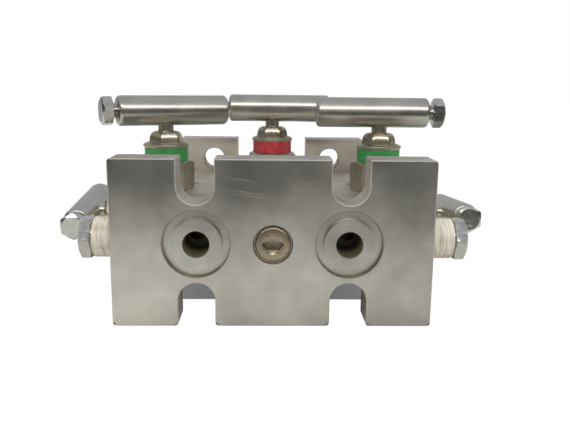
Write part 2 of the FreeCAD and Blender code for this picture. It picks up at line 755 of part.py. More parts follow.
def valve_rotations():
    """Rotation of each valve's local frame, keyed by the valve's name."""
    right, back, up = Vector(1, 0, 0), Vector(0, 1, 0), Vector(0, 0, 1)
    left, front, down = -right, -back, -up
    return {
        "left_isolate": turned_frame(up, in_plane(left, front, number("left_isolate_yaw"))),
        "right_isolate": turned_frame(up, right),
        "equalise": turned_frame(up, left),
        "left_vent": turned_frame(left, in_plane(front, down, number("left_vent_dip"))),
        "right_vent": turned_frame(right, in_plane(front, up, number("right_vent_rise"))),
    }


def build_valve(name, place, rotation):
    """All the pieces of one valve, set on its seat."""
    bore, chamber = "packing_diameter / 2", "chamber_diameter / 2"
    bonnet_turn, bolt_turn = HEXAGON_TURNS[name]
    pieces = [
        build_bonnet(f"{name}_bonnet", bonnet_turn),
        build_ring_part(f"{name}_bonnet_seal", chamber, "thread_bore_diameter / 2",
                        "-thread_bore_depth", "-bonnet_shank_length"),
        build_ring_part(f"{name}_packing", STEM_BORE, bore, "packing_floor", PACKING_TOP),
        build_ring_part(f"{name}_colour_ring", bore, "ring_diameter / 2", RING_BASE, COLLAR_BASE),
        build_collar(f"{name}_collar"),
        build_gland_nut(f"{name}_gland_nut"),
        build_stem(f"{name}_stem"),
        build_needle_tip(f"{name}_needle_tip"),
        build_handle_bar(f"{name}_handle_bar"),
        build_handle_bolt(f"{name}_handle_bolt", bolt_turn),
    ]
    for body in pieces:
        body.Placement = Placement(Vector(), rotation)
        for axis, text in zip("xyz", place):
            if text != "0":
                bind(body, f".Placement.Base.{axis}", text)
    return pieces


# -------------------------------------------------------------------- checks
def check_cuts(body):
    """Stop if a cutting feature left the body's volume as it was."""
    volume = 0
    for feature in body.Group:
        if not feature.isDerivedFrom("PartDesign::Feature"):
            continue
        kind = feature.TypeId.split("::")[1]
        if kind in CUTTING_FEATURES and feature.Shape.Volume > volume - 0.01:
            raise RuntimeError(f"{body.Label}: {feature.Name} cuts nothing")
        volume = feature.Shape.Volume


def check_document(bodies):
    """Stop if any object failed or any sub-part isn't one valid solid."""
    for item in doc.Objects:
        if "Invalid" in item.State or "Error" in item.State:
            raise RuntimeError(f"{item.Label} failed: {item.State}")
    for body in bodies:
        shape = body.Shape
        if shape.isNull() or not shape.isValid() or len(shape.Solids) != 1:
            raise RuntimeError(f"{body.Label} is not one valid solid")
        check_cuts(body)


def main():
    """Build every sub-part, check it and write one STEP file for each."""
    bodies = [build_block(), build_centre_screw()]
    for side, hand in zip(SIDES, ("left", "right")):
        reach = f"{hand}_plug_reach"
        bodies.append(build_test_plug(f"{hand}_test_plug", side, reach))
        bodies.append(build_plug_tape(f"{hand}_plug_tape", side, reach))
    names = ("left_isolate", "right_isolate", "equalise", "left_vent", "right_vent")
    rotations = valve_rotations()
    for name, (_, place, _) in zip(names, cavity_frames()):
        bodies += build_valve(name, place, rotations[name])
    doc.recompute()
    check_document(bodies)
    os.makedirs("parts", exist_ok=True)
    for body in bodies:
        body.Shape.exportStep(f"parts/{body.Label}.step")
        print(f"{body.Label}: {body.Shape.Volume:.1f} mm3")
    print(f"{len(bodies)} sub-parts written")


main()
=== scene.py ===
"""Finishes, threads, tape and studio for the five-valve instrument manifold.

Lengths in dataclass fields are in millimetres, apart from the studio's and
the place and size of the scratches, which are in metres. Meshes are built in
the local frame of their own piece, then placed in the row frame in metres.
"""
import json
import logging
import math
from dataclasses import dataclass
from enum import Enum
from functools import partial
from typing import Callable, Optional, Sequence

import bmesh
import bpy
import numpy as np
from mathutils import Matrix, Vector


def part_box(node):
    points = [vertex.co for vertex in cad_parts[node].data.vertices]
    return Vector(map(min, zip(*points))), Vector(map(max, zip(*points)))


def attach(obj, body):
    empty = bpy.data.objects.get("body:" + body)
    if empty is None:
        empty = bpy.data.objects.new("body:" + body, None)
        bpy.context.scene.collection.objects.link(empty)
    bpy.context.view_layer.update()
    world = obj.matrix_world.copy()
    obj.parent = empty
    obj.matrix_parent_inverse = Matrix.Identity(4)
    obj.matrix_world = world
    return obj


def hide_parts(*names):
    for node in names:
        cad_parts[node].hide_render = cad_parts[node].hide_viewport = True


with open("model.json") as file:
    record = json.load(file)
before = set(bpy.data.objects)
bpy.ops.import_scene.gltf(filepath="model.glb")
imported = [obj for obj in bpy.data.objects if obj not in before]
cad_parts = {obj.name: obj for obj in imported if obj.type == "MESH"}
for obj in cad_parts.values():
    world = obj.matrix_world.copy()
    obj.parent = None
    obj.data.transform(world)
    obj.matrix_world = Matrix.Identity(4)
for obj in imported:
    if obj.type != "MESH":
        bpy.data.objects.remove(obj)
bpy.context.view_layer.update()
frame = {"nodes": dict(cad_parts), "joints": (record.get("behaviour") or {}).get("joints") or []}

Array = np.ndarray
Material = bpy.types.Material
Node = bpy.types.Node
Socket = bpy.types.NodeSocket
Adder = Callable[..., Node]

LOG = logging.getLogger("manifold")
MM = 0.001
ROOT = "manifold"
TAU = 2 * math.pi

# How far each valve's bonnet and clamp bolt are turned on their own axes, in
# degrees from a corner across the T-bar.
HEXAGON_TURNS = {
    "left_isolate": (-10, 12),
    "right_isolate": (-12, 30),
    "equalise": (-20, 0),
    "left_vent": (0, 0),
    "right_vent": (0, 0),
}


class Slot(Enum):
    """Material slots of the record."""

    BLOCK = "machined_stainless"
    SCREW = "screw_steel"
    PLUG = "plug_stainless"
    TAPE = "thread_tape"
    VALVE = "valve_stainless"
    BRIGHT = "bright_stainless"
    GREEN = "ring_green"
    RED = "ring_red"
    HANDLE = "handle_stainless"
    BOLT = "bolt_stainless"


# --- numbers
def srgb(code: str) -> tuple[float, float, float, float]:
    """Turn an sRGB hex value such as "a8a598" into linear RGBA.

    Args:
        code: six hex digits.

    Returns:
        Linear red, green, blue and an alpha of 1.
    """
    parts = [int(code[i:i + 2], 16) / 255 for i in (0, 2, 4)]
    linear = [p / 12.92 if p <= 0.04045 else ((p + 0.055) / 1.055) ** 2.4 for p in parts]
    return (*linear, 1.0)


def ripple(angle: Array, seed: int, orders: Sequence[int]) -> Array:
    """Sum of cosines of the angle with seeded phases, scaled to about +-1.

    Args:
        angle: angles in radians.
        seed: seed of the phases.
        orders: how many waves each term has in a turn.

    Returns:
        The sum, of the same shape as angle.
    """
    phases = np.random.default_rng(seed).uniform(0, TAU, len(orders))
    total = sum(np.cos(order * angle + phase) for order, phase in zip(orders, phases))
    return total / max(len(orders) ** 0.5, 1)


# --- frames
@dataclass(frozen=True)
class Place:
    """A local frame: origin in metres, and unit axes as matrix columns."""

    origin: Array
    axes: Array

    def to_row(self, points: Array) -> Array:
        """Local millimetres to row metres: origin plus axes times point."""
        return self.origin + points @ self.axes.T * MM


def axis_place(origin: Sequence[float], out: Sequence[float], across: Sequence[float]) -> Place:
    """Frame with +Z along out and +X along the part of across square to it.

    Args:
        origin: origin in metres.
        out: direction of local Z.
        across: rough direction of local X.

    Returns:
        The right-handed frame.
    """
    z = np.array(out, float) / np.linalg.norm(out)
    x = np.array(across, float)
    x = x - (x @ z) * z
    x = x / np.linalg.norm(x)
    return Place(np.array(origin, float), np.column_stack((x, np.cross(z, x), z)))


def middle(node: str) -> Array:
    """Centre of a CAD node's box, in metres."""
    low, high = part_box(node)
    return (np.array(low) + np.array(high)) / 2


# --- surfaces
def rounded(corners: Sequence[tuple[float, float, float]], steps: int = 6) -> Array:
    """Profile through corners, with an arc of the stated radius at each.

    The arc is tangent to both sides: its centre lies on the bisector at
    radius over the sine of half the corner's angle.

    Args:
        corners: (level, radius, rounding) along the profile.
        steps: segments in each arc.

    Returns:
        Array of (level, radius) rows.
    """
    points = np.array([c[:2] for c in corners], float)
    rows = [points[:1]]
    for index in range(1, len(corners) - 1):
        corner, size = points[index], corners[index][2]
        if size <= 0:
            rows.append(corner[None])
            continue
        back = points[index - 1] - corner
        onward = points[index + 1] - corner
        back, onward = back / np.linalg.norm(back), onward / np.linalg.norm(onward)
        half = math.acos(np.clip(back @ onward, -1, 1)) / 2
        bisector = (back + onward) / np.linalg.norm(back + onward)
        centre = corner + bisector * size / math.sin(half)
        start = corner + back * size / math.tan(half) - centre
        end = corner + onward * size / math.tan(half) - centre
        sweep = math.pi - 2 * half
        share = np.linspace(0, 1, steps + 1)[:, None]
        arc = np.sin((1 - share) * sweep) * start + np.sin(share * sweep) * end
        rows.append(centre + arc / math.sin(sweep))
    rows.append(points[-1:])
    return np.vstack(rows)


def polar(radius: Array, angle: Array, level: Array) -> Array:
    """Points about local Z: (radius cos angle, radius sin angle, level)."""
    return np.stack((radius * np.cos(angle), radius * np.sin(angle), level + 0 * angle), axis=-1)


def lathe(profile: Array, segments: int = 96) -> Array:
    """Turn a profile about local Z into a grid.

    Args:
        profile: rows of (level, radius).
        segments: columns round the axis.

    Returns:
        Grid of shape (rows, segments, 3).
    """
    angle = np.arange(segments) * TAU / segments
    return polar(profile[:, 1:], angle, profile[:, :1])


def hexagon_radius(angle: Array, flats: float) -> Array:
    """Radius of a hexagon across flats, with a corner at angle 0."""
    sector = TAU / 6
    return flats / 2 / np.cos(angle % sector - sector / 2)


def hexagon_head(
    flats: float,
    low: float,
    high: float,
    inner: float,
    slopes: tuple[float, float],
    setbacks: tuple[float, float],
    per_side: int = 16,
) -> Array:
    """Hexagon whose ends are turned, so that its flats end in arcs.

    At each angle the end face runs from the inner radius to the crown, then
    the turned surface falls by slope * (radius - crown) until it meets the
    hexagon's own radius there.

    Args:
        flats: width across flats.
        low: level of the lower end.
        high: level of the upper end.
        inner: radius of the bore, or 0.
        slopes: slope of the lower and upper turned surface.
        setbacks: how far inside the flats the lower and upper crown lie.
        per_side: columns on each of the six sides.

    Returns:
        Closed grid, up the outside from the lower bore edge to the upper one.
    """
    angle = np.arange(6 * per_side) * TAU / (6 * per_side)
    rim = hexagon_radius(angle, flats)
    share = np.linspace(0, 1, 7)[:, None]
    ends = []
    for level, setback, slope in ((low, setbacks[0], slopes[0]), (high, setbacks[1], -slopes[1])):
        crown = flats / 2 - setback
        start = np.minimum(crown, rim)
        radius = start + share * (rim - start)
        ends.append((radius, level + slope * np.maximum(radius - crown, 0)))
    radius = np.vstack((inner + 0 * angle[None], ends[0][0], ends[1][0][::-1], inner + 0 * angle[None]))
    height = np.vstack((low + 0 * angle[None], ends[0][1], ends[1][1][::-1], high + 0 * angle[None]))
    return polar(radius, angle, height)


def soft_hexagon(angle: Array, flats: float, power: int = 24) -> Array:
    """Radius of a hexagon with rounded corners, a corner at angle 0.

    Each flat alone would give flats / 2 / cos(angle from its middle); the
    cosines of the six are blended as the root of their summed powers.

    Args:
        angle: angles in radians.
        flats: width across flats.
        power: the higher it is, the sharper the corners.

    Returns:
        Radius at each angle.
    """
    middles = (np.arange(6)[:, None] + 0.5) * TAU / 6
    cosines = np.maximum(np.cos(angle - middles), 0)
    return flats / 2 / (cosines ** power).sum(axis=0) ** (1 / power)


def turned(grid: Array, degrees: float) -> Array:
    """The grid turned about local Z."""
    cosine, sine = math.cos(math.radians(degrees)), math.sin(math.radians(degrees))
    return grid @ np.array([[cosine, sine, 0], [-sine, cosine, 0], [0, 0, 1]])


def thread_grid(
    low: float, high: float, crest: float, root: float, pitch: float, segments: int = 48
) -> Array:
    """Screw thread: the radius follows a rounded wave of level less angle.

    Args:
        low: first level.
        high: last level.
        crest: crest radius.
        root: root radius.
        pitch: advance in one turn.
        segments: columns round the axis.

    Returns:
        Grid of shape (rows, segments, 3).
    """
    angle = np.arange(segments) * TAU / segments
    level = np.linspace(low, high, max(int((high - low) / pitch * 12), 4))[:, None]
    wave = 0.5 + 0.5 * np.cos(TAU * (level / pitch - angle / TAU))
    return polar(root + (crest - root) * np.clip(1.25 * wave - 0.05, 0, 1), angle, level)


def make_surface(name: str, grids: Sequence[Array], place: Place, sharp: float = 32) -> bpy.types.Object:
    """One mesh object from grids that wrap round in their second direction.

    Each grid also writes a UV map, "lay", in metres: the first number runs
    round the piece at its mean radius and the second along its profile.

    Args:
        name: name of the piece.
        grids: arrays of shape (rows, columns, 3) in local millimetres.
        place: frame of the piece.
        sharp: crease angle in degrees past which edges stay sharp.

    Returns:
        The object, at the origin with its place in its mesh.
    """
    points, faces, lay, offset = [], [], [], 0
    for grid in grids:
        rows, columns = grid.shape[:2]
        points.append(grid.reshape(-1, 3))
        row = np.arange(rows - 1)[:, None] * columns
        column = np.arange(columns)[None]
        following = (column + 1) % columns
        quads = np.stack((row + column, row + following,
                          row + columns + following, row + columns + column), -1)
        faces.append(quads.reshape(-1, 4) + offset)
        lay.append(lay_of(grid))
        offset += rows * columns
    mesh = bpy.data.meshes.new(name)
    mesh.from_pydata(place.to_row(np.vstack(points)).tolist(), [], np.vstack(faces).tolist())
    chart = mesh.uv_layers.new(name="lay")
    chart.data.foreach_set("uv", np.vstack(lay).astype(np.float32).ravel())
    work = bmesh.new()
    work.from_mesh(mesh)
    bmesh.ops.remove_doubles(work, verts=work.verts, dist=1e-7)
    bmesh.ops.recalc_face_normals(work, faces=work.faces)
    work.to_mesh(mesh)
    work.free()
    mesh.shade_smooth()
    mesh.set_sharp_from_angle(angle=math.radians(sharp))
    piece = bpy.data.objects.new(name, mesh)
    bpy.context.scene.collection.objects.link(piece)
    return piece


def lay_of(grid: Array) -> Array:
    """UV corners of a wrapped grid: angle times mean radius, profile length.

    Args:
        grid: array of shape (rows, columns, 3) in local millimetres.

    Returns:
        Rows of (u, v) in metres, one for each corner of each face.
    """
    rows, columns = grid.shape[:2]
    steps = np.linalg.norm(np.diff(grid[:, 0], axis=0), axis=1)
    along = np.concatenate(([0], np.cumsum(steps))) * MM
    reach = np.linalg.norm(grid[..., :2], axis=-1).mean() * MM
    around = np.arange(columns + 1) * TAU / columns * reach
    u = np.stack((around[:-1], around[1:], around[1:], around[:-1]), -1)[None].repeat(rows - 1, 0)
    low, high = along[:-1, None], along[1:, None]
    v = np.stack((low, low, high, high), -1).repeat(columns, 1)
    return np.stack((u, v), -1).reshape(-1, 2)


def finish_piece(
    piece: bpy.types.Object,
    material: Material,
    slot: Slot,
    body: str,
    *nodes: str,
) -> bpy.types.Object:
    """Dress a piece, hide the nodes it stands for, and let it ride.

    Args:
        piece: the mesh object.
        material: its material.
        slot: the record's material slot; not used.
        body: the CAD body it moves with.
        nodes: CAD nodes that it replaces.

    Returns:
        The piece.
    """
    piece.data.materials.clear()
    piece.data.materials.append(material)
    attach(piece, body)
    if nodes:
        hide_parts(*nodes)
    LOG.info("%s: %d faces on %s", piece.name, len(piece.data.polygons), body)
    return piece


# --- materials
def add_node(tree: bpy.types.NodeTree, kind: str, links: dict | Sequence = (), **settings) -> Node:
    """Add a shader node, set its properties, and fill or link its inputs.

    Args:
        tree: node tree of the material.
        kind: node type, without the "ShaderNode" in front.
        links: the inputs in order, or input name or number to input. Each is
            a value, an output socket, or a node, which then stands for its
            first output in use. MapRange takes the value, the two ends that
            it comes from and the two that it goes to. Mix takes the share at
            0, numbers at 2 and 3, and colours at 6 and 7.
        settings: properties of the node.

    Returns:
        The node.
    """
    node = tree.nodes.new("ShaderNode" + kind)
    for name, value in settings.items():
        setattr(node, name, value)
    for name, value in links.items() if isinstance(links, dict) else enumerate(links):
        if isinstance(value, Node):
            value = next(output for output in value.outputs if output.enabled)
        if isinstance(value, Socket):
            tree.links.new(value, node.inputs[name])
        else:
            node.inputs[name].default_value = value
    return node


def new_material(name: str) -> tuple[Material, Adder]:
    """An empty node material.

    Args:
        name: name of the finish.

    Returns:
        The material, and add_node for its tree.
    """
    material = bpy.data.materials.new(name)
    material.use_nodes = True
    material.node_tree.nodes.clear()
    return material, partial(add_node, material.node_tree)


def close_material(node: Adder, shader: dict, height: Optional[Node], depth: float) -> None:
    """End a tree with a Principled shader over a bump of real depth.

    Args:
        node: adds a node to the material's tree.
        shader: inputs of the Principled shader.
        height: bump height from 0 to 1, or None.
        depth: height of the bump in millimetres.
    """
    if height is not None:
        bump = node("Bump", {"Strength": 1.0, "Distance": depth * MM, "Height": height})
        shader = {**shader, "Normal": bump}
    surface = node("BsdfPrincipled", shader)
    node("OutputMaterial", {"Surface": surface})


@dataclass(frozen=True)
class TurnedSteel:
    """Polished stainless bar and turned parts: long fine polishing streaks.

    The streaks run along the piece's profile and fade in and out over some
    50 mm. They stand about 0.8 mm apart, coarser than real polishing, which
    would be too fine to show. Smudges change the tone more slowly.
    """

    name: str
    light: str
    dark: str
    roughness: float
    spread: float = 0.06
    streak_pitch: float = 0.8
    streak_length: float = 50.0
    smudge: float = 9.0
    dent: float = 0.0

    def build(self) -> Material:
        """Build the finish.

        Returns:
            The material, with streaks along the piece's own UV map.
        """
        material, node = new_material(self.name)
        lay = node("UVMap", uv_map="lay")
        streaks = node("Mapping", {
            "Vector": lay, "Scale": (1000 / self.streak_pitch, 1000 / self.streak_length, 1)})
        fine = node("TexNoise", {"Vector": streaks, "Scale": 1.0, "Detail": 1.0})
        where = node("TexCoord").outputs["Object"]
        cloud = node("TexNoise", {"Vector": where, "Scale": 1000 / self.smudge, "Detail": 1.0})
        both = node("Math", (fine, cloud), operation="ADD")
        tone = node("MapRange", (both, 0.55, 1.45))
        colour = node("Mix", {0: tone, 6: srgb(self.dark), 7: srgb(self.light)}, data_type="RGBA")
        rough = node("MapRange", (cloud, 0.3, 0.7, self.roughness, self.roughness + self.spread))
        close_material(node, {"Base Color": colour, "Metallic": 1.0, "Roughness": rough},
                       cloud if self.dent else None, self.dent)
        return material


@dataclass(frozen=True)
class GroundBlock:
    """Stainless block: surface-ground front face, milled flanks, oily bores.

    Grinding leaves fine lines across the face and a few deeper scratches;
    the seal lands carry rings from the facing tool; the bores stay dark.
    Painted shade darkens the lower right of the block and painted light
    brightens its lower left. The lines are drawn 0.3 mm apart, coarser than a
    real grinding wheel's, so that they show. The scales of milling and clouding
    are noise cells in a metre.
    """

    name: str = "ground_and_milled_stainless"
    face_light: str = "dcdad3"
    face_dark: str = "b8b6b1"
    flank_light: str = "e3ddd6"
    flank_dark: str = "c4beb6"
    bore: str = "7c745a"
    # Painted shade: colour of the thin dark line round the outer edge of each seal groove.
    rim: str = "a39684"
    bevel: str = "e2dfd8"
    face_roughness: float = 0.26
    flank_roughness: float = 0.5
    bevel_roughness: float = 0.6
    bore_roughness: float = 0.5
    grind_pitch: float = 0.3
    grind_depth: float = 0.0015
    grind_tone: float = 0.16
    grind_stretch: float = 14.0
    mill_scale: float = 900.0
    cloud_scale: float = 45.0
    cloud_roughness: float = 0.16
    # Painted shade at the lower right of the block and painted light at its lower left: strength across X,
    # and the height in mm where it fades out.
    painted_side_shade: float = 4.5
    painted_shade_height: float = 30.0
    scratch_centre: tuple[float, float, float] = (0.001, -0.049, 0.048)
    scratch_size: tuple[float, float, float] = (0.04, 0.2, 0.0007)
    scratch_lean: float = 9.0
    scratch_reach: tuple[float, float] = (10.0, 20.0)
    scratch_roughness: float = 0.16
    ring_pitch: float = 0.5
    ring_wander: float = 0.15
    # Width of that painted groove-edge shade, in millimetres from the groove's radius.
    groove_shade_band: tuple[float, float] = (0.1, 0.45)
    face_reach: float = 0.25
    bevel_middle: float = 0.17
    bevel_half: float = 0.14
    bore_start: float = 0.6
    land_radius: float = 12.3
    groove_radius: float = 12.0
    groove_depth: float = 2.4
    port_radius: float = 4.9
    port_spacing: float = 54.0

    def build(self, front: float, level: float) -> Material:
        """Material of the block.

        Args:
            front: row Y of the front face in metres.
            level: row Z of the ports in metres.

        Returns:
            The material, which reads Object coordinates only.
        """
        material, node = new_material(self.name)
        where = node("TexCoord").outputs["Object"]
        x, y, z = node("SeparateXYZ", (where,)).outputs[:3]
        from_port = self.port_distance(node, x, z, level)
        near_port = node("Math", (from_port, self.land_radius * MM), operation="LESS_THAN")
        faced = node("Math", (near_port, self.groove_depth * MM, front + self.face_reach * MM),
                     operation="MULTIPLY_ADD")
        on_face = node("Math", (y, faced), operation="LESS_THAN")
        in_bore = self.bore_mask(node, y, from_port, front)

        stretch = (self.grind_stretch, self.grind_stretch, 1000 / self.grind_pitch)
        lines = node("Mapping", {"Vector": where, "Scale": stretch})
        grind = node("TexNoise", {"Vector": lines, "Scale": 1.0, "Detail": 5.0, "Roughness": 0.6})
        milled = node("TexNoise", {"Vector": where, "Scale": self.mill_scale, "Detail": 5.0})
        wander = node("Math", (milled, self.ring_wander * MM, from_port), operation="MULTIPLY_ADD")
        turns = node("Math", (wander, TAU * 1000 / self.ring_pitch), operation="MULTIPLY")
        wave = node("Math", (turns,), operation="SINE")
        rings = node("Math", (wave, 0.25, 0.5), operation="MULTIPLY_ADD")
        across = node("Mix", {0: on_face, 2: milled, 3: grind})
        height = node("Mix", {0: near_port, 2: across, 3: rings})

        cloud = node("TexNoise", {"Vector": where, "Scale": self.cloud_scale, "Detail": 6.0,
                                  "Roughness": 0.55})
        blend = node("Math", (grind, self.grind_tone, cloud), operation="MULTIPLY_ADD")
        # Painted shade: the tone darkens towards the lower right of the block and lightens towards the lower
        # left, fading out 30 mm above its foot.
        foot = node("MapRange", (z, self.painted_shade_height * MM, 0.0))
        side = node("Math", (x, foot), operation="MULTIPLY")
        side_shaded = node("Math", (side, -self.painted_side_shade, blend), operation="MULTIPLY_ADD")
        tone = node("MapRange", (side_shaded, 0.35 + self.grind_tone / 2, 0.65 + self.grind_tone / 2))
        face = node("Mix", {0: tone, 6: srgb(self.face_dark), 7: srgb(self.face_light)}, data_type="RGBA")
        flank = node("Mix", {0: tone, 6: srgb(self.flank_dark), 7: srgb(self.flank_light)}, data_type="RGBA")
        plain = node("Mix", {0: on_face, 6: flank, 7: face}, data_type="RGBA")
        # Painted shade: a thin dark brown line round the outer edge of each seal groove.
        off_rim = node("Math", (from_port, self.groove_radius * MM), operation="SUBTRACT")
        gap = node("Math", (off_rim,), operation="ABSOLUTE")
        line = node("MapRange", (gap, self.groove_shade_band[0] * MM, self.groove_shade_band[1] * MM, 0.7, 0.0))
        groove_shaded = node("Mix", {0: line, 6: plain, 7: srgb(self.rim)}, data_type="RGBA")
        behind = node("Math", (y, front), operation="SUBTRACT")
        on_bevel = node("Math", (behind, self.bevel_middle * MM, self.bevel_half * MM), operation="COMPARE")
        steel = node("Mix", {0: on_bevel, 6: groove_shaded, 7: srgb(self.bevel)}, data_type="RGBA")
        colour = node("Mix", {0: in_bore, 6: steel, 7: srgb(self.bore)}, data_type="RGBA")

        marks = self.scratches(node, where)
        scratch = node("Math", (marks, on_face), operation="MULTIPLY")
        metal = node("Math", (1.0, in_bore), operation="SUBTRACT")
        worn = node("Mix", {0: on_face, 2: self.flank_roughness, 3: self.face_roughness})
        eased = node("Mix", {0: on_bevel, 2: worn, 3: self.bevel_roughness})
        uneven = node("Math", (cloud, self.cloud_roughness, eased), operation="MULTIPLY_ADD")
        scored = node("Math", (scratch, self.scratch_roughness, uneven), operation="MULTIPLY_ADD")
        rough = node("Mix", {0: in_bore, 2: scored, 3: self.bore_roughness})
        close_material(node, {"Base Color": colour, "Metallic": metal, "Roughness": rough},
                       height, self.grind_depth)
        return material

    def port_distance(self, node: Adder, x: Socket, z: Socket, level: float) -> Node:
        """Distance in the face's plane from the nearer port's axis.

        Args:
            node: adds a node to the material's tree.
            x: row X in metres.
            z: row Z in metres.
            level: row Z of the ports in metres.

        Returns:
            The length of (|x| - half the spacing, z - level), in metres.
        """
        aside = node("Math", (x,), operation="ABSOLUTE")
        out = node("Math", (aside, self.port_spacing / 2 * MM), operation="SUBTRACT")
        up = node("Math", (z, level), operation="SUBTRACT")
        flat = node("CombineXYZ", (out, up))
        return node("VectorMath", (flat,), operation="LENGTH")

    def bore_mask(self, node: Adder, y: Socket, from_port: Node, front: float) -> Node:
        """1 inside the port bores, behind either face.

        Args:
            node: adds a node to the material's tree.
            y: row Y in metres.
            from_port: distance from the nearer port's axis.
            front: row Y of the front face in metres.

        Returns:
            The mask, 0 or 1.
        """
        narrow = node("Math", (from_port, self.port_radius * MM), operation="LESS_THAN")
        depth = node("Math", (y,), operation="ABSOLUTE")
        behind = node("Math", (depth, -front - self.bore_start * MM), operation="LESS_THAN")
        return node("Math", (narrow, behind), operation="MULTIPLY")

    def scratches(self, node: Adder, where: Socket) -> Node:
        """Long thin scratches, off the grinding lines, in the upper middle.

        Args:
            node: adds a node to the material's tree.
            where: Object coordinates.

        Returns:
            1 on a scratch, fading to 0 beside it and away from the centre.
        """
        slanted = node("Mapping", {
            "Vector": where, "Rotation": (0, math.radians(self.scratch_lean), 0),
            "Scale": self.scratch_size}, vector_type="TEXTURE")
        noise = node("TexNoise", {"Vector": slanted, "Scale": 1.0, "Detail": 1.0})
        marks = node("MapRange", (noise, 0.68, 0.76))
        away = node("VectorMath", (where, self.scratch_centre), operation="DISTANCE")
        near = node("MapRange", (away, self.scratch_reach[0] * MM, self.scratch_reach[1] * MM, 1.0, 0.0))
        return node("Math", (marks, near), operation="MULTIPLY")


@dataclass(frozen=True)
class MouldedPlastic:
    """Injection-moulded marking ring: even colour, soft gloss, faint waves."""

    name: str
    colour: str
    deep: str
    roughness: float = 0.32
    wave: float = 2.5
    depth: float = 0.02

    def build(self) -> Material:
        """Build the finish.

        Returns:
            The material, on Object coordinates.
        """
        material, node = new_material(self.name)
        where = node("TexCoord").outputs["Object"]
        cloud = node("TexNoise", {"Vector": where, "Scale": 1000 / self.wave, "Detail": 3.0})
        tone = node("MapRange", (cloud, 0.35, 0.7))
        colour = node("Mix", {0: tone, 6: srgb(self.deep), 7: srgb(self.colour)}, data_type="RGBA")
        rough = node("Math", (cloud, 0.2, self.roughness), operation="MULTIPLY_ADD")
        close_material(node, {"Base Color": colour, "Roughness": rough, "IOR": 1.49}, cloud, self.depth)
        return material


@dataclass(frozen=True)
class SealTape:
    """Stretched PTFE thread tape: off-white, matt, with thin pulled folds."""

    name: str = "thread_seal_tape"
    light: str = "e0dbcf"
    shade: str = "bdb5a7"
    grime: str = "b3a788"
    patch: float = 5.0
    fold_pitch: float = 0.6
    depth: float = 0.05

    def build(self) -> Material:
        """Build the finish.

        Returns:
            The material, whose folds run round the winding's own UV map.
        """
        material, node = new_material(self.name)
        lay = node("UVMap", uv_map="lay")
        folds = node("Mapping", {"Vector": lay, "Rotation": (0, 0, math.radians(3)),
                                 "Scale": (90, 1000 / self.fold_pitch, 1)})
        crease = node("TexNoise", {"Vector": folds, "Scale": 1.0, "Detail": 4.0})
        tone = node("MapRange", (crease, 0.32, 0.55))
        clean = node("Mix", {0: tone, 6: srgb(self.shade), 7: srgb(self.light)}, data_type="RGBA")
        where = node("TexCoord").outputs["Object"]
        patch = node("TexNoise", {"Vector": where, "Scale": 1000 / self.patch, "Detail": 2.0})
        dirt = node("MapRange", (patch, 0.5, 0.7, 0.0, 0.7))
        colour = node("Mix", {0: dirt, 6: clean, 7: srgb(self.grime)}, data_type="RGBA")
        close_material(node, {"Base Color": colour, "Roughness": 0.55, "IOR": 1.35,
                              "Subsurface Weight": 0.15, "Subsurface Scale": 0.6 * MM}, crease, self.depth)
        return material


@dataclass(frozen=True)
class Finishes:
    """Every material of the manifold, built once."""

    bar: Material
    bolt: Material
    gland: Material
    bonnet: Material
    stem: Material
    plug: Material
    screw: Material
    tape: Material
    seal: Material
    green: Material
    red: Material


def build_finishes() -> Finishes:
    """Build each finish from the real material it stands for."""
    return Finishes(
        bar=TurnedSteel("polished_stainless_bar", "d1cfc7", "b1afa7", 0.27).build(),
        bolt=TurnedSteel("plain_stainless_bolt", "dcdcd9", "b9b9b5", 0.2, smudge=2.5, dent=0.12).build(),
        gland=TurnedSteel("turned_stainless_gland", "ddd4c2", "b9ae99", 0.26).build(),
        bonnet=TurnedSteel("satin_stainless_bonnet", "cdc8b6", "a9a896", 0.36).build(),
        stem=TurnedSteel("stainless_stem", "d8d3c5", "b3ae9f", 0.24).build(),
        plug=TurnedSteel("bright_stainless_plug", "d6d5d0", "b4b3ae", 0.07, smudge=4.0, dent=0.25).build(),
        screw=TurnedSteel("stainless_socket_screw", "b9ad99", "948976", 0.28).build(),
        tape=SealTape().build(),
        seal=MouldedPlastic("moulded_fluoropolymer", "e8e6dc", "d2cfc2", 0.5).build(),
        green=MouldedPlastic("green_moulded_ring", "41a056", "338c46").build(),
        red=MouldedPlastic("red_moulded_ring", "d24650", "b5363f").build(),
    )


